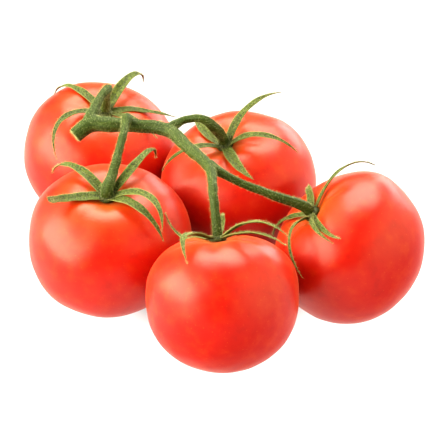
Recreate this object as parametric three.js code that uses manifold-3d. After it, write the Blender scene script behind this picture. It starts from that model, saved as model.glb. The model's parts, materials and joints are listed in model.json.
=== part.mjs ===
// A truss of five ripe tomatoes, cut from the vine and lying on a flat surface.
// Millimetres, +Z up, +X to the right and +Y to the back.
// The origin is on the surface, under the middle of the truss.
// Each tomato is one solid, each calyx is one solid of sepals, and the branching stem is one solid.
import * as THREE from "three";
import { mergeVertices } from "three/addons/utils/BufferGeometryUtils.js";
import Module from "manifold-3d";

const wasm = await Module();
wasm.setup();

// Tomato form
const FRUIT_SIDES = 30;
const DIMPLE_SPREAD = 0.28; // share of the tomato's radius that the hollow round the calyx takes up
const TOP_FULLNESS = 0.4; // under a half gives fuller shoulders than an ellipse
const BOTTOM_FULLNESS = 0.45;
const OUT_OF_ROUND = 0.01; // three seed chambers push the outline out a little
const CHAMBERS = 3;
const FURROWS = 5;
const FURROW_DEPTH = 0.9;
const FURROW_CENTRE = 0.4; // share of the radius where a furrow is deepest
const FURROW_SPREAD = 0.2;
const FURROW_SHARPNESS = 8;
const FLAT_DEPTH = 0.3; // how far each tomato is pressed into its flat resting spot
const SLAB_SIZE = 150; // a block under the resting surface, wider than any tomato
// Angles down from the stem end, in degrees, closer together in the dimple
const FRUIT_ROWS = [0, 5, 10, 15, 20, 26, 33, 41, 50, 60, 70, 80, 90, 101, 113, 125, 138, 152, 166, 180];

// Calyx form
const CLEARANCE = 0.45; // gap kept between separate pieces
const HUB_SIDES = 15;
const HUB_RADIUS = 3.6;
const HUB_HEIGHT = 1.8;
const HUB_CROWN = { radius: 2.7, height: 0.7 }; // the flat top of the hub, and the bevel down from it
const SEPAL_ROOT = 2.4; // distance from the axis at which a sepal starts, inside the hub
const SEPAL_WIDTHS = [3.4, 4.3, 4.1, 3.3, 2.1, 0.8]; // at even steps from root to tip
const SEPAL_THICKNESS = 0.8;
const SEPAL_FOLD = 0.28; // rise of the edges over the midrib, per half width
const SEPAL_STEPS = 11;
const DROOP_GROWTH = 1.5; // how a sepal's droop gathers towards its tip

// Stem form
const STEM_STEP = 2.6; // distance between rings along a stem
const STEM_SIDES = 10;
const STEM_STRAIGHT = 2.5; // last stretch of a pedicel, square to the calyx

// The five tomatoes: where each stands, how it leans, and its sepals.
// top and bottom are heights over and under its widest line, and dimple is the depth of its hollow stem end.
// lean is in degrees towards the bearing leanTo, and furrowAt is the bearing of one of its shoulder furrows.
// A sepal is [bearing, length, rise, droop, sweep]: it leaves the hub on that bearing, rising at that angle,
// and by its tip it has turned down by droop and sideways by sweep, in degrees.
const TOMATOES = {
  back_left: {
    x: -51.4, y: 56.3, lean: 13.6, leanTo: -57,
    radius: 33.3, top: 27.8, bottom: 28, dimple: 5.4, furrowAt: 24,
    sepals: [
      [137, 35, 12, 98, -4],
      [-160, 45, 19, 44, 98],
      [61, 35, 41, 132, -8],
      [18, 29, 1, -9, -47],
      [-9, 25, 1, 7, -48],
    ],
  },
  front_left: {
    x: -44.1, y: -14.4, lean: 10.4, leanTo: -93,
    radius: 33.8, top: 28, bottom: 28, dimple: 5.4, furrowAt: 24,
    sepals: [
      [-171, 23, 8, -12, 27],
      [132, 36, 23, 104, 12],
      [40, 42, 34, 125, 46],
      [-12, 39, 31, 66, -86],
      [-41, 34, 26, 100, -7],
    ],
  },
  front: {
    x: 2.3, y: -59.3, lean: 24, leanTo: 100,
    radius: 30.5, top: 24.8, bottom: 30.6, dimple: 3.4, furrowAt: 48,
    sepals: [
      [-146, 34, 23, 91, 84],
      [141, 33, -12, -77, -24],
      [-50, 41, 31, 76, 9],
      [-51, 36, 17, 51, 16],
      [82, 31, 21, 35, 11],
    ],
  },
  back: {
    x: 9.1, y: 28.1, lean: 18.4, leanTo: -142,
    radius: 33.2, top: 26, bottom: 30.2, dimple: 5.4, furrowAt: 60,
    sepals: [
      [42, 32, 42, 55, -43],
      [-25, 37, 38, 106, -3],
      [-75, 36, 9, -13, 14],
      [-156, 30, 38, 99, -6],
      [136, 27, 8, 35, -48],
    ],
  },
  right: {
    x: 52.5, y: -23.8, lean: 43.3, leanTo: 179,
    radius: 31.9, top: 23.2, bottom: 32.7, dimple: 5, furrowAt: 0,
    sepals: [
      [23, 36, 21, 105, 21],
      [80, 30, 12, 68, 52],
      [-76, 43, 0, -13, 17],
      [-84, 34, 11, 33, 24],
      [-102, 43, 36, 111, 1],
      [148, 27, 12, 57, 5],
    ],
  },
};

// The rachis starts at its cut end, runs along the top of the truss and becomes the front tomato's pedicel.
// Each other pedicel starts inside the rachis. Every pedicel ends square on its tomato's calyx.
// radii are at even steps along a stem: it is thicker at its joints and where it meets the calyx.
const STEMS = {
  front: {
    points: [
      [-59, 15.2, 60.8], [-56, 16.8, 62.8], [-52, 18.2, 64.8], [-46, 17, 65.2], [-36, 16.5, 65.2],
      [-24, 13, 66], [-19, 9.5, 66.2], [-11, -5, 66.5], [-6, -14, 67],
      [-2.5, -22.5, 67.5], [-1.5, -31, 67.5], [-1, -40, 65.5],
    ],
    radii: [3.1, 3.3, 2.9, 2.6, 2.6, 2.5, 2.3, 2.1, 1.9, 1.8, 1.7, 1.9],
  },
  back_left: {
    points: [[-53, 19, 65.8], [-49, 32, 69.5], [-46, 40, 69.5], [-47, 46, 65]],
    radii: [2.8, 1.9, 1.75, 1.9, 1.7, 1.9],
  },
  front_left: {
    points: [[-36.9, 17, 66.8], [-36.9, 15.6, 69], [-38.2, 5, 67.8], [-40.5, -7, 63], [-42.6, -14.2, 58.4]],
    radii: [2.4, 1.6, 1.6, 1.8, 2.1, 2.4],
  },
  back: {
    points: [[-20, 11, 66.5], [-13, 16, 68], [-5.5, 15, 69], [-1, 16, 64.5]],
    radii: [2.2, 1.5, 1.6, 2.2, 2.1, 2.1],
  },
  right: {
    points: [[-3, -20, 67.3], [1, -23, 66.3], [11, -24.5, 61.4], [22, -25.5, 57]],
    radii: [2.4, 1.6, 1.5, 1.65, 1.95, 2.3],
  },
};

const SKIN = new THREE.MeshStandardMaterial({ color: 0xd92a14, roughness: 0.25, metalness: 0 });
const SEPAL_GREEN = new THREE.MeshStandardMaterial({ color: 0x6b8a3e, roughness: 0.75, metalness: 0 });
const STEM_GREEN = new THREE.MeshStandardMaterial({ color: 0x5d7a38, roughness: 0.7, metalness: 0 });

const UP = new THREE.Vector3(0, 0, 1);
const radians = THREE.MathUtils.degToRad;
const bump = (value, centre, spread) => Math.exp(-(((value - centre) / spread) ** 2));

// A unit vector along a bearing, tilted up by an angle, both in radians.
function direction(bearing, tilt) {
  const level = Math.cos(tilt);
  return new THREE.Vector3(level * Math.cos(bearing), level * Math.sin(bearing), Math.sin(tilt));
}

// A smooth function of a share from 0 to 1 through values given at even steps.
function evenly(values) {
  const curve = new THREE.SplineCurve(values.map((value, step) => new THREE.Vector2(step, value)));
  return (share) => curve.getPoint(share).y;
}

// Solids for joining and cutting

function solidFrom(geometry) {
  const bare = geometry.clone();
  bare.deleteAttribute("normal");
  bare.deleteAttribute("uv");
  const merged = mergeVertices(bare, 1e-4);
  return new wasm.Manifold(new wasm.Mesh({
    numProp: 3,
    vertProperties: merged.attributes.position.array,
    triVerts: new Uint32Array(merged.index.array),
  }));
}

function geometryFrom(solid) {
  const mesh = solid.getMesh();
  const geometry = new THREE.BufferGeometry();
  geometry.setAttribute("position", new THREE.BufferAttribute(mesh.vertProperties, 3));
  geometry.setIndex(new THREE.BufferAttribute(mesh.triVerts, 1));
  geometry.computeVertexNormals();
  return geometry;
}

const fused = (geometries) => geometryFrom(geometries.map(solidFrom).reduce((all, next) => all.add(next)));

// Moves every vertex of a geometry to where place(vertex) says.
function reshaped(geometry, place) {
  const position = geometry.getAttribute("position");
  const vertex = new THREE.Vector3();
  for (let i = 0; i < position.count; i++) {
    const moved = place(vertex.fromBufferAttribute(position, i));
    position.setXYZ(i, moved.x, moved.y, moved.z);
  }
  return geometry;
}

// Tomatoes

const outline = (tomato, bearing) => tomato.radius * (1 + OUT_OF_ROUND * Math.cos(CHAMBERS * bearing));

// Height of the upper skin over the widest line, in the tomato's own frame.
function shoulderHeight(tomato, x, y) {
  const bearing = Math.atan2(y, x);
  const share = Math.min(Math.hypot(x, y) / outline(tomato, bearing), 1);
  const furrow = Math.cos((FURROWS * (bearing - radians(tomato.furrowAt))) / 2) ** FURROW_SHARPNESS;
  return tomato.top * (1 - share * share) ** TOP_FULLNESS
    - tomato.dimple * bump(share, 0, DIMPLE_SPREAD)
    - FURROW_DEPTH * furrow * bump(share, FURROW_CENTRE, FURROW_SPREAD);
}

function tomatoGeometry(tomato) {
  const profile = FRUIT_ROWS.map(radians).reverse().map((down) =>
    new THREE.Vector2(Math.abs(down % Math.PI) < 1e-6 ? 0 : Math.sin(down), Math.cos(down)));
  const ball = new THREE.LatheGeometry(profile, FRUIT_SIDES).rotateX(Math.PI / 2);
  return reshaped(ball, (vertex) => {
    const bearing = Math.atan2(vertex.y, vertex.x);
    const share = Math.hypot(vertex.x, vertex.y);
    const radius = share * outline(tomato, bearing);
    const x = radius * Math.cos(bearing);
    const y = radius * Math.sin(bearing);
    const under = -tomato.bottom * (1 - Math.min(share, 1) ** 2) ** BOTTOM_FULLNESS;
    return vertex.set(x, y, vertex.z > 0 ? shoulderHeight(tomato, x, y) : under);
  });
}

// The tomato with its lowest point pressed to a small flat spot, in its own leaning frame.
function restingTomato(tomato, frame) {
  const slab = new THREE.BoxGeometry(SLAB_SIZE, SLAB_SIZE, SLAB_SIZE);
  slab.translate(tomato.x, tomato.y, -SLAB_SIZE / 2);
  slab.applyMatrix4(frame.clone().invert());
  return geometryFrom(solidFrom(tomatoGeometry(tomato)).subtract(solidFrom(slab)));
}

// Calyxes

const hubBase = (tomato) => shoulderHeight(tomato, HUB_RADIUS, 0) + CLEARANCE;
const hubTop = (tomato) => hubBase(tomato) + HUB_HEIGHT;

function hubGeometry(tomato) {
  const base = hubBase(tomato);
  const profile = [
    new THREE.Vector2(0, base),
    new THREE.Vector2(HUB_RADIUS, base),
    new THREE.Vector2(HUB_RADIUS, base + HUB_HEIGHT - HUB_CROWN.height),
    new THREE.Vector2(HUB_CROWN.radius, base + HUB_HEIGHT),
    new THREE.Vector2(0, base + HUB_HEIGHT),
  ];
  return new THREE.LatheGeometry(profile, HUB_SIDES).rotateX(Math.PI / 2);
}

// Stations along a sepal's midrib: its point, and the directions across it and out of its upper face.
function sepalStations(tomato, [bearing, length, rise, droop, sweep]) {
  const point = direction(radians(bearing), 0).multiplyScalar(SEPAL_ROOT);
  point.z = hubBase(tomato) + HUB_HEIGHT / 2;
  const stations = [];
  for (let i = 0; i <= SEPAL_STEPS; i++) {
    const share = i / SEPAL_STEPS;
    const turn = radians(bearing + sweep * share);
    const pitch = radians(rise - droop * share ** DROOP_GROWTH);
    const along = direction(turn, pitch);
    const side = direction(turn + Math.PI / 2, 0);
    stations.push({ share, point: point.clone(), side, over: new THREE.Vector3().crossVectors(along, side) });
    point.addScaledVector(along, length / SEPAL_STEPS);
  }
  return stations;
}

const sepalWidth = evenly(SEPAL_WIDTHS);

// A closed blade from a grid of points on its upper face and the same grid on its lower face.
// Both faces are split into triangles alike.
function bladeGeometry(upper, lower) {
  const rows = upper.length;
  const columns = upper[0].length;
  const points = [...upper.flat(), ...lower.flat()];
  const top = (row, column) => row * columns + column;
  const under = (row, column) => rows * columns + top(row, column);
  const index = [];
  const quad = (a, b, c, d) => index.push(a, b, c, a, c, d);
  for (let r = 0; r + 1 < rows; r++) {
    for (let c = 0; c + 1 < columns; c++) {
      quad(top(r, c), top(r + 1, c), top(r + 1, c + 1), top(r, c + 1));
      index.push(under(r, c), under(r + 1, c + 1), under(r + 1, c));
      index.push(under(r, c), under(r, c + 1), under(r + 1, c + 1));
    }
    quad(top(r, 0), under(r, 0), under(r + 1, 0), top(r + 1, 0));
    quad(top(r + 1, columns - 1), under(r + 1, columns - 1), under(r, columns - 1), top(r, columns - 1));
  }
  for (let c = 0; c + 1 < columns; c++) {
    quad(top(0, c), top(0, c + 1), under(0, c + 1), under(0, c));
    quad(top(rows - 1, c + 1), top(rows - 1, c), under(rows - 1, c), under(rows - 1, c + 1));
  }
  return new THREE.BufferGeometry().setFromPoints(points).setIndex(index);
}

// A sepal's blade, folded up a little along its midrib and lifted wherever it would meet the skin.
function sepalGeometry(tomato, sepal) {
  const upper = [];
  const lower = [];
  for (const { share, point, side, over } of sepalStations(tomato, sepal)) {
    const halfWidth = sepalWidth(share) / 2;
    const across = [-1, 0, 1].map((edge) => point.clone()
      .addScaledVector(side, edge * halfWidth)
      .addScaledVector(over, Math.abs(edge) * halfWidth * SEPAL_FOLD));
    const clear = (vertex, gap) => {
      vertex.z = Math.max(vertex.z, shoulderHeight(tomato, vertex.x, vertex.y) + gap);
      return vertex;
    };
    upper.push(across.map((vertex) =>
      clear(vertex.clone().addScaledVector(over, SEPAL_THICKNESS / 2), CLEARANCE + SEPAL_THICKNESS)));
    lower.push(across.map((vertex) =>
      clear(vertex.clone().addScaledVector(over, -SEPAL_THICKNESS / 2), CLEARANCE)));
  }
  return bladeGeometry(upper, lower);
}

const calyxGeometry = (tomato) =>
  fused([hubGeometry(tomato), ...tomato.sepals.map((sepal) => sepalGeometry(tomato, sepal))]);

// Stem

// A closed tube along a smooth curve, with its radius given at even steps along it.
function stemGeometry(points, radii) {
  const curve = new THREE.CatmullRomCurve3(points);
  const steps = Math.round(curve.getLength() / STEM_STEP);
  const { normals, binormals } = curve.computeFrenetFrames(steps);
  const radiusAt = evenly(radii);
  return reshaped(new THREE.CylinderGeometry(1, 1, 1, STEM_SIDES, steps), (vertex) => {
    const row = Math.round((0.5 - vertex.y) * steps);
    const radius = radiusAt(row / steps);
    const { x, z } = vertex;
    return curve.getPointAt(row / steps)
      .addScaledVector(normals[row], radius * x)
      .addScaledVector(binormals[row], radius * z);
  });
}

// The last two points of a pedicel, straight up out of the middle of a tomato's calyx.
function pedicelEnd(tomato, frame) {
  const foot = hubTop(tomato) + CLEARANCE;
  return [foot + STEM_STRAIGHT, foot].map((height) => new THREE.Vector3(0, 0, height).applyMatrix4(frame));
}

function trussStemGeometry(frames) {
  return fused(Object.entries(STEMS).map(([name, { points, radii }]) => {
    const route = points.map((point) => new THREE.Vector3(...point));
    return stemGeometry([...route, ...pedicelEnd(TOMATOES[name], frames[name])], radii);
  }));
}

// Assembly

// A tomato's leaning frame, set down so that its lowest point is just under the resting surface.
function restingFrame(tomato) {
  const axis = direction(radians(tomato.leanTo), radians(90 - tomato.lean));
  const leanTurn = new THREE.Quaternion().setFromUnitVectors(UP, axis);
  const turn = new THREE.Matrix4().makeRotationFromQuaternion(leanTurn);
  const leaning = tomatoGeometry(tomato).applyMatrix4(turn);
  leaning.computeBoundingBox();
  return turn.setPosition(tomato.x, tomato.y, -leaning.boundingBox.min.z - FLAT_DEPTH);
}

function named(name, geometry, material) {
  const mesh = new THREE.Mesh(geometry, material);
  mesh.name = name;
  return mesh;
}

const truss = new THREE.Group();
const frames = {};
for (const [name, tomato] of Object.entries(TOMATOES)) {
  frames[name] = restingFrame(tomato);
  const place = new THREE.Group();
  place.applyMatrix4(frames[name]);
  place.add(named(`tomato_${name}`, restingTomato(tomato, frames[name]), SKIN));
  place.add(named(`calyx_${name}`, calyxGeometry(tomato), SEPAL_GREEN));
  truss.add(place);
}
truss.add(named("truss_stem", trussStemGeometry(frames), STEM_GREEN));

// The middle of the truss goes over the origin.
const middle = new THREE.Box3().setFromObject(truss, true).getCenter(new THREE.Vector3());
truss.position.set(-middle.x, -middle.y, 0);

export default truss;
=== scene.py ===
"""A truss of five ripe tomatoes on a pale floor: skins, sepals, stem and their fine hairs.

Lengths are in millimetres and angles in degrees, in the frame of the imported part, until a mesh is made.
"""

import json
import math

import bpy
import numpy as np
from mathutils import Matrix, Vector
from mathutils.kdtree import KDTree

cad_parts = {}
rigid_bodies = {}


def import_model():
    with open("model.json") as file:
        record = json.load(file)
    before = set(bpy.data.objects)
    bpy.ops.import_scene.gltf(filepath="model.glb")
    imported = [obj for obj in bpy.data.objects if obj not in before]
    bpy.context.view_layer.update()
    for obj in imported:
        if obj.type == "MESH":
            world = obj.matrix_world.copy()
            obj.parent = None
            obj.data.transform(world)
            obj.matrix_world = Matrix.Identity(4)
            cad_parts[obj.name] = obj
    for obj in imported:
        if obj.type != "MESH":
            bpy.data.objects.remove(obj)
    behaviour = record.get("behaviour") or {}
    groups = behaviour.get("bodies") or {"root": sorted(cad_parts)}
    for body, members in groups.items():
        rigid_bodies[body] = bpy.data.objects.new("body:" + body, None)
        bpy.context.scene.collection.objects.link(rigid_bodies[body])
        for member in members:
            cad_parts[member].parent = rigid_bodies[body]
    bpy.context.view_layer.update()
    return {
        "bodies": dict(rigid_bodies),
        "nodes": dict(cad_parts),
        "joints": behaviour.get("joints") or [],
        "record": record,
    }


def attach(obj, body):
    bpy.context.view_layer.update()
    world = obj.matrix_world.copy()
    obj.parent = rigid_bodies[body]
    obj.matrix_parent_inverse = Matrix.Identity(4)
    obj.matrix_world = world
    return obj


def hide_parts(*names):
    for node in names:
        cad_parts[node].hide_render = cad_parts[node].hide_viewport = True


MM = 0.001
CENTRING = np.array([-0.546, 0.348, 0.0])  # from the frame of the lists below to the part's frame

# Camera
IMAGE_SIZE = 447
FOCAL_PIXELS = 2400
SENSOR = 36
CAMERA_TARGET = np.array([2.454, -4.052, 30.0])
CAMERA_DISTANCE = 1000
CAMERA_ELEVATION = 32

# Tomato form
FRUIT_ROWS = 110
FRUIT_SIDES = 150
DIMPLE_SPREAD = 0.28
TOP_FULLNESS = 0.4
BOTTOM_FULLNESS = 0.45
OUT_OF_ROUND = 0.01
CHAMBERS = 3
FURROWS = 5
FURROW_CENTRE = 0.4
FURROW_SPREAD = 0.2
FURROW_SHARPNESS = 8
FLAT_DEPTH = 0.3
LUMPS = [(0.2, 30), (0.05, 11)]  # height and length of the skin's soft unevenness
LUMP_SEED_STEP = 10
SCAR_SPREAD = 0.09  # share of the tomato's radius over which the blossom scar fades
SCAR_DEPTH = 0.5
WAVE_COUNT = 7
WAVE_SPREAD = (0.6, 1.6)  # how much the waves of one noise differ in length

# Calyx form
CLEARANCE = 0.45
SKIN_GAP = 0.2  # gap kept between a sepal and the skin under it
UPPER_GAP = 0.6  # gap kept between the skin and a sepal's upper face
HUB_RADIUS = 3.6
HUB_HEIGHT = 1.8
HUB_SIDES = 48
HUB_LEVELS = [0, 0, 0.3, 0.9, 1.3, 1.7, 2.0, 2.1, 2.1]
HUB_RADII = [0, 3.3, 3.6, 3.45, 3.0, 2.5, 2.1, 1.2, 0]  # at those levels
SEPAL_ROOT = 2.4
SEPAL_WIDTHS = [3.9, 4.7, 4.2, 3.1, 1.8, 0.5]
STRAP_WIDTHS = [4.4, 4.7, 4.6, 4.4, 4.2, 4.6]  # of a sepal with a blunt end
SEPAL_STEPS = 11
SEPAL_ROWS = 56
SEPAL_COLUMNS = 11
SEPAL_FOLD = 0.28
FOLD_ROUNDNESS = 1.4
TIP_NARROWING = 0.65
TIP_START = 0.86
STRAP_TIP_START = 0.97
TIP_THINNING = 0.5
RIPPLE_HEIGHT = 0.18
RIPPLE_TURNS = (14, 22)
RIPPLE_PHASES = (0, 6)
RIB_SPREAD = 0.16
RIB_GROOVE = 0.22  # on the upper face
RIB_KEEL = 0.3  # on the lower face
BROWN_RANGE = (0.62, 0.97)  # shares of a sepal between which it turns dry
SEPAL_THICKNESS = 0.62
EDGE_THICKNESS = 0.3
DROOP_GROWTH = 1.5
CALYX_SEED_STEP = 100

# Stem form
STEM_SIDES = 20
STEM_STEP = 0.8
STEM_STRAIGHT = 2.5
STEM_VOXEL = 0.38
STEM_SMOOTHING = 6
STEM_SMOOTH_FACTOR = 0.5
STEM_SINK = 0.5  # how far a pedicel's end goes below the place where it meets the calyx
STEM_SWELL = 0.08  # growth that makes up for what the smoothing takes off
STEM_LUMP_HEIGHT = 0.1
STEM_LUMP_LENGTH = 6
STEM_LUMP_SEED = 7
RIDGES = [(0.09, 6, 0.05), (0.05, 11, -0.08)]  # height, number around the stem, turn for each millimetre
CUT_RANGE = (-0.35, 0.1)  # where the pale cut face starts and is full, before the first stem's start
ROUTE_FINENESS = 40
ROUTE_STEPS_LEAST = 8
STEM_APART = 100  # added to walked lengths, so that no two stems share a pattern

# Fine hairs
HAIR_LENGTHS = (0.4, 1.1)
HAIR_RADIUS = 0.04
HAIR_ROOT = 0.08  # depth of a hair's root under the skin
HAIR_JITTER = 0.12
HAIR_LEAN = 0.35
HAIR_CORNERS = [0, 2 * math.pi / 3, 4 * math.pi / 3]
STEM_HAIRS = 13000
STEM_HAIR_SEED = 60
CALYX_HAIRS = 2400
CALYX_HAIR_SEED = 50
HAIR_FACING = -0.3  # hairs grow where a sepal's face looks up by at least this

# Looks: colours are display values from 0 to 255, and strengths are shares
SKIN_COLOURS = [
    (0.1, (176, 90, 24)),
    (0.2, (184, 58, 9)),
    (0.34, (186, 26, 5)),
    (0.62, (182, 16, 4)),
    (1.0, (174, 22, 5)),
]
SKIN_MOTTLE_SHIFT = 0.12
BLUSH_COLOUR = (194, 54, 8)
BLUSH_RANGE = (0.45, 0.72)
BLUSH_STRENGTH = 0.5
DEEP_COLOUR = (162, 10, 6)
DEEP_RANGE = (0.46, 0.28)
DEEP_STRENGTH = 0.5
FLECK_COLOUR = (222, 120, 40)
FLECK_RANGE = (0.13, 0.05)
FLECK_STRENGTH = 0.3
# less gloss and sheen towards the blossom end: painted shade that keeps the floor's reflection off the
# lower skin
GLOSS_RANGE = (0.48, 0.72)  # from the shoulders to the blossom end
GLOSS_LEVELS = (0.5, 0.16)
SHEEN_FADE_RANGE = (0.45, 0.7)
SHEEN_FADE_LEVELS = (0.24, 0.1)
SKIN_SOCKETS = {
    "Roughness": 0.36,
    "IOR": 1.45,
    "Subsurface Weight": 0.2,
    "Subsurface Radius": (1.0, 0.25, 0.12),
    "Subsurface Scale": 0.003,
    "Specular Tint": (1.0, 0.95, 0.8, 1),
    "Sheen Roughness": 0.35,
    "Sheen Tint": (1.0, 0.55, 0.25, 1),
}
SEPAL_COLOURS = [(0.38, (24, 34, 8)), (0.48, (58, 74, 18)), (0.58, (92, 106, 38))]
SEPAL_EDGE_COLOUR = (138, 148, 86)
SEPAL_EDGE_RANGE = (0.72, 1.0)
SEPAL_EDGE_STRENGTH = 0.55
# painted shade: sepals darken at their roots and over the hub, under the stem
SEPAL_ROOT_SHADE_COLOUR = (30, 38, 12)
SEPAL_ROOT_SHADE_RANGE = (0.1, 0.0)
SEPAL_ROOT_SHADE_STRENGTH = 0.6
SEPAL_DRY_COLOUR = (96, 58, 26)
SEPAL_SOCKETS = {"Roughness": 0.62, "Specular IOR Level": 0.3}
STEM_COLOURS = [(0.3, (40, 58, 12)), (0.5, (49, 68, 16)), (0.7, (60, 80, 24))]
STEM_STRETCH = (3.0, 3.0, 0.12)  # draws the stem's streaks out along it
STEM_DARK_COLOUR = (20, 28, 5)
STEM_DARK_RANGE = (0.5, 0.38)
STEM_PALE_COLOUR = (104, 126, 56)
STEM_PALE_RANGE = (0.52, 0.64)
STEM_SPECKLE_STRENGTH = 0.36
STEM_CUT_COLOUR = (176, 178, 120)
STEM_SOCKETS = {"Roughness": 0.6, "Specular IOR Level": 0.25}
HAIR_COLOURS = [(0.35, (136, 150, 84)), (0.65, (190, 198, 136))]
HAIR_SOCKETS = {"Roughness": 0.5}

# Floor: it glows like a lit table and lights the truss from below; its glow is turned down under the
# truss as painted shade
FLOOR_HALF = 2000
FLOOR_GREYS = [(0.0, (0.055, 0.055, 0.055)), (1.0, (0.065, 0.065, 0.065))]  # scene values
FLOOR_ROUGHNESS = 0.8
FLOOR_GLOW = 1.1
PAINTED_SHADE_GLOW = 0.1
PAINTED_SHADE_RADIUS = (22, 54)
FLOOR_TONE = (1.0, 0.92, 0.88, 1)

# Lights: places and sizes in metres
LIGHT_AIM = (0, 0, 0.03)
SOFTBOXES = [
    {
        "name": "left_softbox", "place": (-0.69, -0.20, 0.38), "width": 0.98, "height": 0.6,
        "radiance": 7.6, "colour": (1, 0.93, 0.84),
    },
    {
        "name": "top_softbox", "place": (0.0, 0.56, 0.86), "width": 0.78, "height": 0.74,
        "radiance": 9.4, "colour": (1, 0.93, 0.85),
    },
    {
        "name": "back_right_panel", "place": (0.5, 0.8, 0.25), "width": 0.6, "height": 0.4,
        "radiance": 5.5, "colour": (1, 1, 1),
    },
]
SKY_COLOUR = (1, 0.88, 0.66, 1)
SKY_RADIANCE = 0.14

# Sides of the sky that are lit: heading, where its light starts to show, its radiance and colour
SKY_SIDES = [
    ((-0.93, -0.1, 0.35), 0.45, 3.4, (1.0, 0.86, 0.6)),
    ((0.93, -0.15, 0.33), 0.4, 2.3, (1.0, 0.92, 0.64)),
]

# Sockets of the node that mixes two colours
MIX_FACTOR = 0
MIX_FIRST = 6
MIX_SECOND = 7
MIX_RESULT = 2

# The tomatoes. The shape of a sepal is its bearing, length, rise, droop and sweep
TOMATOES = {
    "back_left": {
        "x": -51.4, "y": 56.3, "lean": 13.6, "lean_to": -57,
        "radius": 33.3, "top": 27.8, "bottom": 28, "dimple": 5.4, "furrow_at": 24,
        "furrow_depth": 0.4,
        "sepals": [
            {"shape": (137, 35, 12, 98, -4), "width": 0.85, "brown": 0.9},
            {"shape": (-160, 45, 19, 44, 98), "width": 0.65, "brown": 0.2},
            {"shape": (61, 35, 41, 132, -8), "width": 1.0, "brown": 0.8},
            {"shape": (18, 29, 1, -9, -47), "width": 0.75, "brown": 0.2},
            {"shape": (-9, 25, 1, 7, -48), "width": 0.55, "brown": 0.3},
        ],
    },
    "front_left": {
        "x": -44.1, "y": -14.4, "lean": 10.4, "lean_to": -93,
        "radius": 33.8, "top": 28, "bottom": 28, "dimple": 5.4, "furrow_at": 24,
        "furrow_depth": 0.35,
        "sepals": [
            {"shape": (-171, 23, 8, -12, 27), "width": 1.1, "brown": 0.4, "strap": True},
            {"shape": (132, 36, 23, 104, 12), "width": 0.95, "brown": 0.2},
            {"shape": (40, 42, 34, 125, 46), "width": 0.85, "brown": 0.2},
            {"shape": (-12, 39, 31, 66, -86), "width": 0.9, "brown": 0.1},
            {"shape": (-41, 34, 26, 100, -7), "width": 0.92, "brown": 0.2},
        ],
    },
    "front": {
        "x": 2.3, "y": -59.3, "lean": 24, "lean_to": 100,
        "radius": 30.5, "top": 24.8, "bottom": 30.6, "dimple": 3.4, "furrow_at": 48,
        "furrow_depth": 0.9,
        "sepals": [
            {"shape": (-146, 34, 23, 91, 84), "width": 0.78, "brown": 0.1},
            {"shape": (141, 33, -12, -77, -24), "width": 0.45, "brown": 0.2},
            {"shape": (-50, 41, 31, 76, 9), "width": 0.5, "brown": 0.2},
            {"shape": (-51, 36, 17, 51, 16), "width": 0.45, "brown": 0.2},
            {"shape": (82, 31, 21, 35, 11), "width": 0.65, "brown": 0.1},
        ],
    },
    "back": {
        "x": 9.1, "y": 28.1, "lean": 18.4, "lean_to": -142,
        "radius": 33.2, "top": 26, "bottom": 30.2, "dimple": 5.4, "furrow_at": 60,
        "furrow_depth": 0.9,
        "sepals": [
            {"shape": (42, 32, 42, 55, -43), "width": 1.0, "brown": 0.2},
            {"shape": (-25, 37, 38, 106, -3), "width": 0.8, "brown": 0.2},
            {"shape": (-75, 36, 9, -13, 14), "width": 1.0, "brown": 0.2},
            {"shape": (-156, 30, 38, 99, -6), "width": 0.7, "brown": 0.1},
            {"shape": (136, 27, 8, 35, -48), "width": 0.9, "brown": 0.2},
        ],
    },
    "right": {
        "x": 52.5, "y": -23.8, "lean": 43.3, "lean_to": 179,
        "radius": 31.9, "top": 23.2, "bottom": 32.7, "dimple": 5, "furrow_at": 0,
        "furrow_depth": 0.9,
        "sepals": [
            {"shape": (23, 36, 21, 105, 21), "width": 0.45, "brown": 0.6},
            {"shape": (80, 30, 12, 68, 52), "width": 0.75, "brown": 0.2},
            {"shape": (-76, 43, 0, -13, 17), "width": 0.52, "brown": 0.2},
            {"shape": (-84, 34, 11, 33, 24), "width": 0.46, "brown": 0.2},
            {"shape": (-102, 43, 36, 111, 1), "width": 0.46, "brown": 0.2},
            {"shape": (148, 27, 12, 57, 5), "width": 0.6, "brown": 0.2},
        ],
    },
}

# Each stem runs from the rachis or its cut end to the tomato of the same name
STEMS = {
    "front": {
        "points": [
            (-59, 15.2, 60.8), (-56, 16.8, 62.8), (-52, 18.2, 64.8), (-46, 17, 65.2), (-36, 16.5, 65.2),
            (-24, 13, 66), (-19, 9.5, 66.2), (-11, -5, 66.5), (-6, -14, 67),
            (-2.5, -22.5, 67.5), (-1.5, -31, 67.5), (-1, -40, 65.5),
        ],
        "radii": [3.1, 3.3, 2.9, 2.6, 2.6, 2.5, 2.3, 2.1, 1.9, 1.8, 1.7, 1.9],
    },
    "back_left": {
        "points": [(-53, 19, 65.8), (-49, 32, 69.5), (-46, 40, 69.5), (-47, 46, 65)],
        "radii": [2.8, 1.9, 1.75, 1.9, 1.7, 1.9],
    },
    "front_left": {
        "points": [
            (-36.9, 17, 66.8), (-36.9, 15.6, 69), (-38.2, 5, 67.8), (-40.5, -7, 63), (-42.6, -14.2, 58.4),
        ],
        "radii": [2.4, 1.6, 1.6, 1.8, 2.1, 2.4],
    },
    "back": {
        "points": [(-20, 11, 66.5), (-13, 16, 68), (-5.5, 15, 69), (-1, 16, 64.5)],
        "radii": [2.2, 1.5, 1.6, 2.2, 2.1, 2.1],
    },
    "right": {
        "points": [(-3, -20, 67.3), (1, -23, 66.3), (11, -24.5, 61.4), (22, -25.5, 57)],
        "radii": [2.4, 1.6, 1.5, 1.65, 1.95, 2.3],
    },
}


# Shared sums

def bump(value, centre, spread):
    return np.exp(-(((value - centre) / spread) ** 2))


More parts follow.
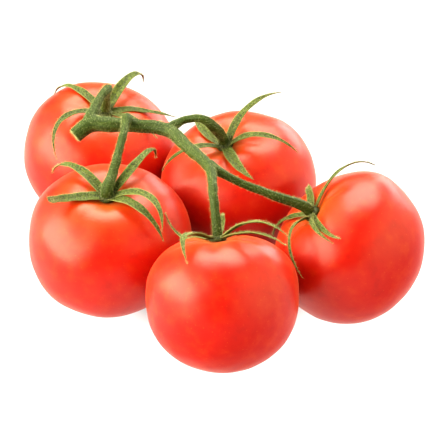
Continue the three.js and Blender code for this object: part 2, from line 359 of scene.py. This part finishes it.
def smooth_step(value, low, high):
    share = np.clip((value - low) / (high - low), 0, 1)
    return share * share * (3 - 2 * share)


def direction(bearing, tilt):
    """Unit vectors along bearings, tilted up, both in radians."""
    level = np.cos(tilt)
    return np.stack([level * np.cos(bearing), level * np.sin(bearing), np.sin(tilt) + 0 * bearing], -1)


def unit(vectors):
    return vectors / np.linalg.norm(vectors, axis=-1, keepdims=True)


def evenly(values, shares):
    """Smooth values at shares from 0 to 1, through values given at even steps."""
    values = np.asarray(values, float)
    last = len(values) - 1
    place = np.clip(np.asarray(shares, float), 0, 1) * last
    step = np.minimum(place.astype(int), last - 1)
    t = place - step
    v0 = values[np.maximum(step - 1, 0)]
    v1 = values[step]
    v2 = values[step + 1]
    v3 = values[np.minimum(step + 2, last)]
    slope1 = (v2 - v0) / 2
    slope2 = (v3 - v1) / 2
    cubic = 2 * v1 - 2 * v2 + slope1 + slope2
    square = -3 * v1 + 3 * v2 - 2 * slope1 - slope2
    return ((cubic * t + square) * t + slope1) * t + v1


def waves(points, seed, wavelength):
    """Smooth seeded noise, about -1 to 1, at an array of points."""
    rng = np.random.default_rng(seed)
    headings = unit(rng.normal(size=(WAVE_COUNT, 3)))
    axes = headings * rng.uniform(*WAVE_SPREAD, (WAVE_COUNT, 1)) * 2 * math.pi / wavelength
    phases = rng.uniform(0, 2 * math.pi, WAVE_COUNT)
    return np.sin(points @ axes.T + phases).sum(-1) / math.sqrt(WAVE_COUNT)


def turn_from_up(axis):
    """The smallest turn that takes straight up to an axis, as a matrix."""
    x, y, z = axis
    cross = np.array([[0, 0, x], [0, 0, y], [-x, -y, 0]])
    return np.eye(3) + cross + cross @ cross / (1 + z)


def make_piece(name, points, faces, material, attributes=None):
    """A smooth mesh object from points in millimetres, with a float attribute for each named array."""
    mesh = bpy.data.meshes.new(name)
    mesh.from_pydata((np.asarray(points) * MM).tolist(), [], faces)
    for key, values in (attributes or {}).items():
        layer = mesh.attributes.new(key, "FLOAT", "POINT")
        layer.data.foreach_set("value", np.asarray(values, np.float32))
    mesh.materials.append(material)
    mesh.polygons.foreach_set("use_smooth", [True] * len(mesh.polygons))
    mesh.update()
    piece = bpy.data.objects.new(name, mesh)
    bpy.context.scene.collection.objects.link(piece)
    return piece


def stands_for(piece, replaced):
    """Ties a piece to the part's body and to the node that it replaces."""
    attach(piece, "root")
    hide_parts(replaced)
    return piece


def mesh_arrays(mesh):
    """A mesh's points in millimetres and its normals."""
    points = np.zeros(len(mesh.vertices) * 3)
    mesh.vertices.foreach_get("co", points)
    normals = np.zeros(len(mesh.vertices) * 3)
    mesh.vertices.foreach_get("normal", normals)
    return points.reshape(-1, 3) / MM, normals.reshape(-1, 3)


# Tomatoes

def outline(tomato, bearing):
    return tomato["radius"] * (1 + OUT_OF_ROUND * np.cos(CHAMBERS * bearing))


def shoulder_height(tomato, x, y):
    """Height of the upper skin over the widest line, in the tomato's own frame."""
    bearing = np.arctan2(y, x)
    share = np.minimum(np.hypot(x, y) / outline(tomato, bearing), 1)
    furrow = np.cos(FURROWS * (bearing - math.radians(tomato["furrow_at"])) / 2) ** FURROW_SHARPNESS
    return (
        tomato["top"] * (1 - share * share) ** TOP_FULLNESS
        - tomato["dimple"] * bump(share, 0, DIMPLE_SPREAD)
        - tomato["furrow_depth"] * furrow * bump(share, FURROW_CENTRE, FURROW_SPREAD)
    )


def fruit_points(tomato):
    """Rings of skin points from the stem end to the blossom end, in the tomato's own frame."""
    down = np.linspace(0, math.pi, FRUIT_ROWS + 1)[1:-1, None]
    bearing = np.linspace(0, 2 * math.pi, FRUIT_SIDES, endpoint=False)[None, :]
    share = np.sin(down) + 0 * bearing
    radius = share * outline(tomato, bearing)
    x = radius * np.cos(bearing)
    y = radius * np.sin(bearing)
    under = -tomato["bottom"] * (1 - np.minimum(share, 1) ** 2) ** BOTTOM_FULLNESS
    under = under + SCAR_DEPTH * bump(share, 0, SCAR_SPREAD)
    z = np.where(np.cos(down) > 0, shoulder_height(tomato, x, y), under)
    rings = np.stack([x, y, z], -1).reshape(-1, 3)
    stem_end = [0, 0, shoulder_height(tomato, 0.0, 0.0)]
    blossom_end = [0, 0, -tomato["bottom"] + SCAR_DEPTH]
    return np.vstack([[stem_end], rings, [blossom_end]])


def fruit_faces():
    """Triangles at both ends and quads between rings."""
    rows = FRUIT_ROWS - 1
    ring = np.arange(FRUIT_SIDES)
    after = (ring + 1) % FRUIT_SIDES
    last = rows * FRUIT_SIDES + 1
    faces = [(0, 1 + a, 1 + b) for a, b in zip(ring.tolist(), after.tolist())]
    for row in range(rows - 1):
        top = 1 + row * FRUIT_SIDES
        low = top + FRUIT_SIDES
        faces += list(zip((top + ring).tolist(), (low + ring).tolist(),
                          (low + after).tolist(), (top + after).tolist()))
    end = 1 + (rows - 1) * FRUIT_SIDES
    faces += [(end + a, last, end + b) for a, b in zip(ring.tolist(), after.tolist())]
    return faces


def resting_frame(tomato):
    """A tomato's turn and place, set down with its lowest point just under the floor."""
    tilt = math.radians(90 - tomato["lean"])
    turn = turn_from_up(direction(np.float64(math.radians(tomato["lean_to"])), tilt))
    lowest = (fruit_points(tomato) @ turn.T)[:, 2].min()
    return turn, np.array([tomato["x"], tomato["y"], -lowest - FLAT_DEPTH]) + CENTRING


def placed(points, frame):
    turn, place = frame
    return points @ turn.T + place


def build_fruit(name, tomato, frame, seed, material):
    local = fruit_points(tomato)
    heading = unit(local)
    for number, (height, length) in enumerate(LUMPS):
        unevenness = height * waves(local, LUMP_SEED_STEP * number + seed, length)
        local = local + heading * unevenness[:, None]
    points = placed(local, frame)
    points[:, 2] = np.maximum(points[:, 2], 0)
    share = np.hypot(local[:, 0], local[:, 1]) / tomato["radius"]
    down = np.arctan2(share, local[:, 2] / tomato["radius"]) / math.pi
    attributes = {
        "down": down,
        "local_x": local[:, 0],
        "local_y": local[:, 1],
        "local_z": local[:, 2],
    }
    piece = make_piece(f"tomato_{name}", points, fruit_faces(), material, attributes)
    return stands_for(piece, f"tomato_{name}")


# Calyxes

def hub_base(tomato):
    return float(shoulder_height(tomato, HUB_RADIUS, 0.0)) + CLEARANCE


def hub_top(tomato):
    return hub_base(tomato) + HUB_HEIGHT


def sepal_midrib(tomato, shape):
    """Points along a sepal's midrib, and the directions along, across and out of its upper face."""
    bearing, length, rise, droop, sweep = shape
    shares = np.arange(SEPAL_STEPS + 1) / SEPAL_STEPS
    turn = np.radians(bearing + sweep * shares)
    pitch = np.radians(rise - droop * shares ** DROOP_GROWTH)
    strides = direction(turn, pitch) * length / SEPAL_STEPS
    start = direction(np.float64(math.radians(bearing)), 0.0) * SEPAL_ROOT
    start[2] = hub_base(tomato) + HUB_HEIGHT / 2
    stations = start + np.vstack([np.zeros(3), np.cumsum(strides[:-1], 0)])
    share = np.linspace(0, 1, SEPAL_ROWS)
    points = np.stack([evenly(stations[:, axis], share) for axis in range(3)], -1)
    turn = np.radians(bearing + sweep * share)
    pitch = np.radians(rise - droop * share ** DROOP_GROWTH)
    along = direction(turn, pitch)
    side = direction(turn + math.pi / 2, 0 * turn)
    return share, points, along, side, np.cross(along, side)


def blade_faces(rows, columns, first):
    """Faces of a closed blade: an upper grid, a lower grid, and strips between their edges."""
    def top(row, column):
        return first + row * columns + column

    def under(row, column):
        return top(row, column) + rows * columns

    faces = []
    for r in range(rows - 1):
        for c in range(columns - 1):
            faces.append((top(r, c), top(r + 1, c), top(r + 1, c + 1), top(r, c + 1)))
            faces.append((under(r, c), under(r, c + 1), under(r + 1, c + 1), under(r + 1, c)))
        end = columns - 1
        faces.append((top(r, 0), under(r, 0), under(r + 1, 0), top(r + 1, 0)))
        faces.append((top(r + 1, end), under(r + 1, end), under(r, end), top(r, end)))
    for c in range(columns - 1):
        end = rows - 1
        faces.append((top(0, c), top(0, c + 1), under(0, c + 1), under(0, c)))
        faces.append((top(end, c + 1), top(end, c), under(end, c), under(end, c + 1)))
    return faces


def sepal_blade(tomato, sepal, seed):
    """A sepal's points and how far along, across and how brown each one is."""
    rng = np.random.default_rng(seed)
    share, points, along, side, over = sepal_midrib(tomato, sepal["shape"])
    across = np.linspace(-1, 1, SEPAL_COLUMNS)
    strap = sepal.get("strap", False)
    taper = 1 - TIP_NARROWING * smooth_step(share, STRAP_TIP_START if strap else TIP_START, 1)
    half = evenly(STRAP_WIDTHS if strap else SEPAL_WIDTHS, share) / 2 * taper * sepal["width"]
    wave = np.sin(share * rng.uniform(*RIPPLE_TURNS) + rng.uniform(*RIPPLE_PHASES))
    ripple = wave[:, None] * np.sign(across) * across ** 2
    fold = half[:, None] * SEPAL_FOLD * np.abs(across) ** FOLD_ROUNDNESS
    rise = fold + RIPPLE_HEIGHT * ripple * np.sin(share * math.pi)[:, None]
    middle = (
        points[:, None]
        + side[:, None] * (half[:, None] * across)[:, :, None]
        + over[:, None] * rise[:, :, None]
    )
    rib = bump(across, 0, RIB_SPREAD)
    body = SEPAL_THICKNESS + (EDGE_THICKNESS - SEPAL_THICKNESS) * across ** 2
    body = body[None, :] * (1 - TIP_THINNING * share ** 3)[:, None] / 2
    fade = (1 - share)[:, None]
    upper = middle + over[:, None] * (body - RIB_GROOVE * rib * fade)[:, :, None]
    lower = middle - over[:, None] * (body + RIB_KEEL * rib * fade)[:, :, None]

    def clear(face, gap):
        """A face's points, kept at least a gap above the skin."""
        height = shoulder_height(tomato, face[:, :, 0], face[:, :, 1])
        face[:, :, 2] = np.maximum(face[:, :, 2], height + gap)
        return face.reshape(-1, 3)

    lower = clear(lower, SKIN_GAP)
    upper = clear(upper, UPPER_GAP)
    shares = np.repeat(share, SEPAL_COLUMNS)
    sides = np.tile(across, SEPAL_ROWS)
    brown = sepal["brown"] * smooth_step(shares, *BROWN_RANGE)
    return np.vstack([upper, lower]), np.tile(shares, 2), np.tile(sides, 2), np.tile(brown, 2)


def hub_points(tomato):
    """Rings of points up the hub that the sepals grow from, and their number."""
    base = hub_base(tomato)
    heights = np.array(HUB_LEVELS)
    radii = np.array(HUB_RADII)
    bearing = np.linspace(0, 2 * math.pi, HUB_SIDES, endpoint=False)
    x = radii[:, None] * np.cos(bearing)
    y = radii[:, None] * np.sin(bearing)
    z = base + heights[:, None] + 0 * bearing
    return np.stack([x, y, z], -1).reshape(-1, 3), len(heights)


def hub_faces(rows, first):
    faces = []
    for r in range(rows - 1):
        for c in range(HUB_SIDES):
            d = (c + 1) % HUB_SIDES
            low = first + r * HUB_SIDES
            high = low + HUB_SIDES
            faces.append((low + c, low + d, high + d, high + c))
    return faces


def build_calyx(name, tomato, frame, seed, material):
    points, rows = hub_points(tomato)
    faces = hub_faces(rows, 0)
    shares = [np.zeros(len(points))]
    sides = [np.zeros(len(points))]
    browns = [np.zeros(len(points))]
    stack = [points]
    count = len(points)
    for number, sepal in enumerate(tomato["sepals"]):
        blade, share, side, brown = sepal_blade(tomato, sepal, seed + number)
        faces += blade_faces(SEPAL_ROWS, SEPAL_COLUMNS, count)
        count += len(blade)
        stack.append(blade)
        shares.append(share)
        sides.append(side)
        browns.append(brown)
    attributes = {
        "along": np.concatenate(shares),
        "across": np.concatenate(sides),
        "brown": np.concatenate(browns),
    }
    piece = make_piece(f"calyx_{name}", placed(np.vstack(stack), frame), faces, material, attributes)
    return stands_for(piece, f"calyx_{name}")


# Stem

def smooth_route(points):
    """Even points along a smooth curve through points, its knots spaced by the root of their distance."""
    points = np.asarray(points, float)
    padded = np.vstack([2 * points[0] - points[1], points, 2 * points[-1] - points[-2]])
    fine = []
    for i in range(len(points) - 1):
        p0, p1, p2, p3 = padded[i:i + 4]
        d0, d1, d2 = (math.sqrt(np.linalg.norm(b - a)) for a, b in ((p0, p1), (p1, p2), (p2, p3)))
        t1 = ((p1 - p0) / d0 - (p2 - p0) / (d0 + d1) + (p2 - p1) / d1) * d1
        t2 = ((p2 - p1) / d1 - (p3 - p1) / (d1 + d2) + (p3 - p2) / d2) * d1
        t = np.linspace(0, 1, ROUTE_FINENESS, endpoint=False)[:, None]
        cubic = 2 * p1 - 2 * p2 + t1 + t2
        square = -3 * p1 + 3 * p2 - 2 * t1 - t2
        fine.append(((cubic * t + square) * t + t1) * t + p1)
    fine = np.vstack(fine + [points[-1:]])
    walked = np.concatenate([[0], np.cumsum(np.linalg.norm(np.diff(fine, axis=0), axis=1))])
    steps = np.linspace(0, walked[-1], max(int(walked[-1] / STEM_STEP), ROUTE_STEPS_LEAST))
    even = np.stack([np.interp(steps, walked, fine[:, axis]) for axis in range(3)], -1)
    return even, steps


def route_frames(route):
    """Directions along a route and two across it, turned as little as can be from point to point."""
    along = unit(np.gradient(route, axis=0))
    across = np.zeros_like(route)
    first = np.cross(along[0], [0, 0, 1])
    across[0] = first / np.linalg.norm(first)
    for i in range(1, len(route)):
        carried = across[i - 1] - along[i] * (across[i - 1] @ along[i])
        across[i] = carried / np.linalg.norm(carried)
    return along, across, np.cross(along, across)


def stem_routes(frames):
    """Each stem's centre line, its walked length, radii and frames."""
    routes = []
    for name, stem in STEMS.items():
        foot = hub_top(TOMATOES[name]) + CLEARANCE
        ends = placed(np.array([[0, 0, foot + STEM_STRAIGHT], [0, 0, foot - STEM_SINK]]), frames[name])
        route, walked = smooth_route(np.vstack([np.array(stem["points"]) + CENTRING, ends]))
        radii = evenly(stem["radii"], walked / walked[-1])
        routes.append((route, walked, radii, *route_frames(route)))
    return routes


def stem_tubes(routes):
    """A closed tube along each route, as points and faces."""
    points = []
    faces = []
    count = 0
    angles = np.linspace(0, 2 * math.pi, STEM_SIDES, endpoint=False)
    ring = np.arange(STEM_SIDES)
    after = (ring + 1) % STEM_SIDES
    for route, _, radii, _, across, other in routes:
        circle = across[:, None] * np.cos(angles)[:, None] + other[:, None] * np.sin(angles)[:, None]
        points.append((route[:, None] + circle * radii[:, None, None]).reshape(-1, 3))
        for row in range(len(route) - 1):
            low = count + row * STEM_SIDES
            high = low + STEM_SIDES
            faces += list(zip((low + ring).tolist(), (low + after).tolist(),
                              (high + after).tolist(), (high + ring).tolist()))
        faces.append(tuple((count + ring[::-1]).tolist()))
        count += len(route) * STEM_SIDES
        faces.append(tuple((count - STEM_SIDES + ring).tolist()))
    return np.vstack(points), faces


def blended(points, faces):
    """The tubes made one smooth skin."""
    mesh = bpy.data.meshes.new("stem_tubes")
    mesh.from_pydata((points * MM).tolist(), [], faces)
    tubes = bpy.data.objects.new("stem_tubes", mesh)
    bpy.context.scene.collection.objects.link(tubes)
    remesh = tubes.modifiers.new("one_skin", "REMESH")
    remesh.mode = "VOXEL"
    remesh.voxel_size = STEM_VOXEL * MM
    smooth = tubes.modifiers.new("smooth", "SMOOTH")
    smooth.factor = STEM_SMOOTH_FACTOR
    smooth.iterations = STEM_SMOOTHING
    evaluated = tubes.evaluated_get(bpy.context.evaluated_depsgraph_get())
    skin = evaluated.to_mesh()
    points, normals = mesh_arrays(skin)
    faces = [tuple(p.vertices) for p in skin.polygons]
    evaluated.to_mesh_clear()
    bpy.data.objects.remove(tubes)
    bpy.data.meshes.remove(mesh)
    return points, normals, faces


def along_stems(points, routes):
    """For each point, how far along its nearest stem it is, and the angle around it."""
    tree = KDTree(sum(len(r[0]) for r in routes))
    owners = []
    for number, parts in enumerate(routes):
        for step, point in enumerate(parts[0]):
            tree.insert(point, len(owners))
            owners.append((number, step))
    tree.balance()
    walked = np.zeros(len(points))
    angle = np.zeros(len(points))
    for i, point in enumerate(points):
        _, found, _ = tree.find(point)
        number, step = owners[found]
        route, lengths, _, along, across, other = routes[number]
        offset = point - route[step]
        walked[i] = lengths[step] + offset @ along[step] + STEM_APART * number
        angle[i] = math.atan2(offset @ other[step], offset @ across[step])
    return walked, angle


def build_stem(frames, material):
    routes = stem_routes(frames)
    points, normals, faces = blended(*stem_tubes(routes))
    walked, angle = along_stems(points, routes)
    ridges = sum(height * np.cos(number * angle + turn * walked) for height, number, turn in RIDGES)
    lumps = STEM_LUMP_HEIGHT * waves(points, STEM_LUMP_SEED, STEM_LUMP_LENGTH)
    points = points + normals * (ridges + lumps + STEM_SWELL)[:, None]
    attributes = {
        "walked": walked,
        "ring_x": np.cos(angle),
        "ring_y": np.sin(angle),
        "cut": smooth_step(-walked, *CUT_RANGE),
    }
    piece = make_piece("truss_stem", points, faces, material, attributes)
    return stands_for(piece, "truss_stem")


# Fine hairs

def build_hairs(name, host, mesh_points, mesh_normals, count, seed, slot, material):
    """Thin spikes that stand on a piece at seeded points of it."""
    rng = np.random.default_rng(seed)
    chosen = rng.integers(0, len(mesh_points), count)
    roots = mesh_points[chosen] + rng.normal(size=(count, 3)) * HAIR_JITTER
    heading = unit(mesh_normals[chosen] + rng.normal(size=(count, 3)) * HAIR_LEAN)
    length = rng.uniform(*HAIR_LENGTHS, (count, 1))
    side = unit(np.cross(heading, unit(rng.normal(size=(count, 3)))))
    other = np.cross(heading, side)
    foot = roots - mesh_normals[chosen] * HAIR_ROOT
    corners = [foot + HAIR_RADIUS * (math.cos(a) * side + math.sin(a) * other) for a in HAIR_CORNERS]
    points = np.stack([*corners, foot + heading * (length + HAIR_ROOT)], 1).reshape(-1, 3)
    faces = []
    for first in range(0, 4 * count, 4):
        a, b, c, tip = range(first, first + 4)
        faces += [(a, c, b), (a, b, tip), (b, c, tip), (c, a, tip)]
    piece = make_piece(name, points, faces, material)
    return stands_for(piece, host)


# Materials

def node(tree, kind, **values):
    """A new shader node with its settings, or else its sockets, set by name."""
    made = tree.nodes.new(kind)
    for key, value in values.items():
        if hasattr(made, key):
            setattr(made, key, value)
        else:
            made.inputs[key.replace("_", " ")].default_value = value
    return made


def set_sockets(shader, values):
    for name, value in values.items():
        shader.inputs[name].default_value = value


def new_material(name):
    material = bpy.data.materials.new(name)
    material.use_nodes = True
    tree = material.node_tree
    shader = tree.nodes["Principled BSDF"]
    return material, tree, shader


def colour_ramp(tree, stops):
    """A ramp through colours at positions from 0 to 1."""
    ramp = tree.nodes.new("ShaderNodeValToRGB")
    elements = ramp.color_ramp.elements
    while len(elements) < len(stops):
        elements.new(0.5)
    for element, (position, colour) in zip(elements, stops):
        element.position = position
        element.color = (*colour, 1)
    return ramp


def linear(display):
    """A scene colour from 0 to 255 display values, by the standard display curve."""
    def channel(value):
        value = value / 255
        return value / 12.92 if value <= 0.04045 else ((value + 0.055) / 1.055) ** 2.4
    return tuple(channel(value) for value in display)


def display_ramp(tree, stops):
    return colour_ramp(tree, [(position, linear(display)) for position, display in stops])


def attribute(tree, name):
    made = tree.nodes.new("ShaderNodeAttribute")
    made.attribute_name = name
    return made.outputs["Fac"]


def skin_material():
    material, tree, shader = new_material("tomato_skin")
    link = tree.links.new
    place = tree.nodes.new("ShaderNodeCombineXYZ")
    for axis in "XYZ":
        link(attribute(tree, f"local_{axis.lower()}"), place.inputs[axis])
    mottle = node(tree, "ShaderNodeTexNoise", Scale=0.09, Detail=3.0)
    link(place.outputs[0], mottle.inputs["Vector"])
    shift = node(tree, "ShaderNodeMath", operation="MULTIPLY_ADD")
    link(mottle.outputs["Fac"], shift.inputs[0])
    shift.inputs[1].default_value = SKIN_MOTTLE_SHIFT
    link(attribute(tree, "down"), shift.inputs[2])
    ramp = display_ramp(tree, SKIN_COLOURS)
    link(shift.outputs[0], ramp.inputs[0])
    patch = node(tree, "ShaderNodeTexNoise", Scale=0.16, Detail=5.0, Roughness=0.6)
    link(place.outputs[0], patch.inputs["Vector"])
    warm = ranged(tree, patch.outputs["Fac"], BLUSH_RANGE, (0.0, BLUSH_STRENGTH))
    blushed = between(tree, warm, ramp.outputs["Color"], linear(BLUSH_COLOUR))
    deep = ranged(tree, patch.outputs["Fac"], DEEP_RANGE, (0.0, DEEP_STRENGTH))
    deepened = between(tree, deep, blushed, linear(DEEP_COLOUR))
    fleck = node(tree, "ShaderNodeTexVoronoi", Scale=0.55)
    link(place.outputs[0], fleck.inputs["Vector"])
    dot = ranged(tree, fleck.outputs["Distance"], FLECK_RANGE, (0.0, FLECK_STRENGTH))
    flecked = between(tree, dot, deepened, linear(FLECK_COLOUR))
    link(flecked, shader.inputs["Base Color"])
    grain = node(tree, "ShaderNodeTexNoise", Scale=1.6, Detail=3.0)
    link(place.outputs[0], grain.inputs["Vector"])
    relief = node(tree, "ShaderNodeBump", Strength=0.12, Distance=0.0002)
    link(grain.outputs["Fac"], relief.inputs["Height"])
    link(relief.outputs["Normal"], shader.inputs["Normal"])
    # gloss and sheen fade towards the blossom end, a painted shade on the lower skin's reflections
    gloss = ranged(tree, attribute(tree, "down"), GLOSS_RANGE, GLOSS_LEVELS)
    link(gloss, shader.inputs["Specular IOR Level"])
    sheen_fade = ranged(tree, attribute(tree, "down"), SHEEN_FADE_RANGE, SHEEN_FADE_LEVELS)
    link(sheen_fade, shader.inputs["Sheen Weight"])
    set_sockets(shader, SKIN_SOCKETS)
    return material


def between(tree, factor, first, second):
    """A blend of two colours, each a socket or a fixed colour."""
    mix = node(tree, "ShaderNodeMix", data_type="RGBA")
    tree.links.new(factor, mix.inputs[MIX_FACTOR])
    for socket, colour in ((mix.inputs[MIX_FIRST], first), (mix.inputs[MIX_SECOND], second)):
        if isinstance(colour, tuple):
            socket.default_value = (*colour, 1)
        else:
            tree.links.new(colour, socket)
    return mix.outputs[MIX_RESULT]


def ranged(tree, socket, limits, results):
    """A socket's values between two limits, spread smoothly between two results."""
    spread = node(tree, "ShaderNodeMapRange", interpolation_type="SMOOTHSTEP")
    tree.links.new(socket, spread.inputs["Value"])
    spread.inputs["From Min"].default_value, spread.inputs["From Max"].default_value = limits
    spread.inputs["To Min"].default_value, spread.inputs["To Max"].default_value = results
    return spread.outputs["Result"]


def magnitude(tree, socket):
    size = node(tree, "ShaderNodeMath", operation="ABSOLUTE")
    tree.links.new(socket, size.inputs[0])
    return size.outputs[0]


def sepal_material():
    material, tree, shader = new_material("sepal")
    link = tree.links.new
    place = tree.nodes.new("ShaderNodeNewGeometry")
    mottle = node(tree, "ShaderNodeTexNoise", Scale=1300.0, Detail=4.0, Roughness=0.65)
    link(place.outputs["Position"], mottle.inputs["Vector"])
    ramp = display_ramp(tree, SEPAL_COLOURS)
    link(mottle.outputs["Fac"], ramp.inputs[0])
    aside = magnitude(tree, attribute(tree, "across"))
    edge = ranged(tree, aside, SEPAL_EDGE_RANGE, (0.0, SEPAL_EDGE_STRENGTH))
    edged = between(tree, edge, ramp.outputs["Color"], linear(SEPAL_EDGE_COLOUR))
    # painted shade at the sepal roots and on the hub, under the stem
    root = ranged(tree, attribute(tree, "along"), SEPAL_ROOT_SHADE_RANGE, (0.0, SEPAL_ROOT_SHADE_STRENGTH))
    root_shaded = between(tree, root, edged, linear(SEPAL_ROOT_SHADE_COLOUR))
    tipped = between(tree, attribute(tree, "brown"), root_shaded, linear(SEPAL_DRY_COLOUR))
    link(tipped, shader.inputs["Base Color"])
    relief = node(tree, "ShaderNodeBump", Strength=0.5, Distance=0.0002)
    link(mottle.outputs["Fac"], relief.inputs["Height"])
    link(relief.outputs["Normal"], shader.inputs["Normal"])
    set_sockets(shader, SEPAL_SOCKETS)
    return material


def stem_material():
    material, tree, shader = new_material("stem")
    link = tree.links.new
    place = tree.nodes.new("ShaderNodeCombineXYZ")
    for axis, name in zip("XYZ", ("ring_x", "ring_y", "walked")):
        link(attribute(tree, name), place.inputs[axis])
    stretch = node(tree, "ShaderNodeMapping")
    stretch.inputs["Scale"].default_value = STEM_STRETCH
    link(place.outputs[0], stretch.inputs["Vector"])
    streak = node(tree, "ShaderNodeTexNoise", Scale=1.6, Detail=4.0)
    link(stretch.outputs[0], streak.inputs["Vector"])
    ramp = display_ramp(tree, STEM_COLOURS)
    link(streak.outputs["Fac"], ramp.inputs[0])
    spot = tree.nodes.new("ShaderNodeNewGeometry")
    speckle = node(tree, "ShaderNodeTexNoise", Scale=1900.0, Detail=3.0, Roughness=0.7)
    link(spot.outputs["Position"], speckle.inputs["Vector"])
    dark = ranged(tree, speckle.outputs["Fac"], STEM_DARK_RANGE, (0.0, STEM_SPECKLE_STRENGTH))
    shaded = between(tree, dark, ramp.outputs["Color"], linear(STEM_DARK_COLOUR))
    pale = ranged(tree, speckle.outputs["Fac"], STEM_PALE_RANGE, (0.0, STEM_SPECKLE_STRENGTH))
    speckled = between(tree, pale, shaded, linear(STEM_PALE_COLOUR))
    cut = between(tree, attribute(tree, "cut"), speckled, linear(STEM_CUT_COLOUR))
    link(cut, shader.inputs["Base Color"])
    relief = node(tree, "ShaderNodeBump", Strength=0.5, Distance=0.0002)
    link(speckle.outputs["Fac"], relief.inputs["Height"])
    link(relief.outputs["Normal"], shader.inputs["Normal"])
    set_sockets(shader, STEM_SOCKETS)
    return material


def hair_material():
    material, tree, shader = new_material("plant_hair")
    spot = tree.nodes.new("ShaderNodeNewGeometry")
    tone = node(tree, "ShaderNodeTexNoise", Scale=200.0, Detail=1.0)
    tree.links.new(spot.outputs["Position"], tone.inputs["Vector"])
    ramp = display_ramp(tree, HAIR_COLOURS)
    tree.links.new(tone.outputs["Fac"], ramp.inputs[0])
    tree.links.new(ramp.outputs["Color"], shader.inputs["Base Color"])
    set_sockets(shader, HAIR_SOCKETS)
    return material


def floor_material():
    material, tree, shader = new_material("floor")
    grain = node(tree, "ShaderNodeTexNoise", Scale=40.0, Detail=2.0)
    ramp = colour_ramp(tree, FLOOR_GREYS)
    tree.links.new(grain.outputs["Fac"], ramp.inputs[0])
    tree.links.new(ramp.outputs["Color"], shader.inputs["Base Color"])
    shader.inputs["Roughness"].default_value = FLOOR_ROUGHNESS
    spot = tree.nodes.new("ShaderNodeNewGeometry")
    reach = node(tree, "ShaderNodeVectorMath", operation="LENGTH")
    tree.links.new(spot.outputs["Position"], reach.inputs[0])
    # the glow is turned down near the middle of the truss, a painted shade under the tomatoes
    radii = [radius * MM for radius in PAINTED_SHADE_RADIUS]
    glow = ranged(tree, reach.outputs["Value"], radii, (PAINTED_SHADE_GLOW, FLOOR_GLOW))
    tree.links.new(glow, shader.inputs["Emission Strength"])
    shader.inputs["Emission Color"].default_value = FLOOR_TONE
    return material


# Studio

def build_floor():
    corners = [(x * FLOOR_HALF, y * FLOOR_HALF, 0) for x, y in ((-1, -1), (1, -1), (1, 1), (-1, 1))]
    floor = make_piece("floor", np.array(corners, float), [(0, 1, 2, 3)], floor_material())


def softbox(name, place, width, height, radiance, colour):
    """A soft area light that faces the middle of the truss."""
    light = bpy.data.lights.new(name, "AREA")
    light.shape = "RECTANGLE"
    light.size = width
    light.size_y = height
    light.energy = radiance * math.pi * width * height
    light.color = colour
    lamp = bpy.data.objects.new(name, light)
    lamp.location = place
    aim = Vector(LIGHT_AIM) - Vector(place)
    lamp.rotation_euler = aim.to_track_quat("-Z", "Y").to_euler()
    lamp.visible_camera = False
    bpy.context.scene.collection.objects.link(lamp)


def sky_part(tree, heading, low, high, colour):
    """Light from one side of the sky, fading smoothly away from a heading."""
    ray = tree.nodes.new("ShaderNodeTexCoord")
    facing = node(tree, "ShaderNodeVectorMath", operation="DOT_PRODUCT")
    tree.links.new(ray.outputs["Generated"], facing.inputs[0])
    facing.inputs[1].default_value = heading
    glow = tree.nodes.new("ShaderNodeBackground")
    glow.inputs["Color"].default_value = (*colour, 1)
    fading = ranged(tree, facing.outputs["Value"], (low, 1.0), (0.0, high))
    tree.links.new(fading, glow.inputs["Strength"])
    return glow.outputs[0]


def build_sky():
    world = bpy.data.worlds.new("studio")
    world.use_nodes = True
    tree = world.node_tree
    base = tree.nodes["Background"]
    base.inputs["Color"].default_value = SKY_COLOUR
    base.inputs["Strength"].default_value = SKY_RADIANCE
    total = base.outputs[0]
    for heading, low, high, colour in SKY_SIDES:
        both = tree.nodes.new("ShaderNodeAddShader")
        tree.links.new(total, both.inputs[0])
        tree.links.new(sky_part(tree, heading, low, high, colour), both.inputs[1])
        total = both.outputs[0]
    tree.links.new(total, tree.nodes["World Output"].inputs["Surface"])
    bpy.context.scene.world = world


def build_lights():
    build_sky()
    for box in SOFTBOXES:
        softbox(**box)


def build_camera():
    data = bpy.data.cameras.new("camera")
    data.sensor_width = SENSOR
    data.lens = SENSOR * FOCAL_PIXELS / IMAGE_SIZE
    camera = bpy.data.objects.new("camera", data)
    tilt = math.radians(CAMERA_ELEVATION)
    away = np.array([0, -math.cos(tilt), math.sin(tilt)])
    camera.location = (CAMERA_TARGET + away * CAMERA_DISTANCE) * MM
    camera.rotation_euler = Vector(-away).to_track_quat("-Z", "Y").to_euler()
    bpy.context.scene.collection.objects.link(camera)
    bpy.context.scene.camera = camera


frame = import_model()
skin = skin_material()
sepal = sepal_material()
hair = hair_material()
resting = {name: resting_frame(tomato) for name, tomato in TOMATOES.items()}
for seed, (name, tomato) in enumerate(TOMATOES.items()):
    build_fruit(name, tomato, resting[name], seed, skin)
    calyx = build_calyx(name, tomato, resting[name], CALYX_SEED_STEP * (seed + 1), sepal)
    points, normals = mesh_arrays(calyx.data)
    above = normals[:, 2] > HAIR_FACING
    build_hairs(f"calyx_{name}_hairs", f"calyx_{name}", points[above], normals[above], CALYX_HAIRS,
                CALYX_HAIR_SEED + seed, "sepal", hair)
stem_piece = build_stem(resting, stem_material())
build_hairs("truss_stem_hairs", "truss_stem", *mesh_arrays(stem_piece.data), STEM_HAIRS,
            STEM_HAIR_SEED, "stem", hair)
build_floor()
build_lights()
build_camera()
bpy.context.scene.view_settings.view_transform = "Standard"
bpy.context.scene.view_settings.look = "Medium High Contrast"
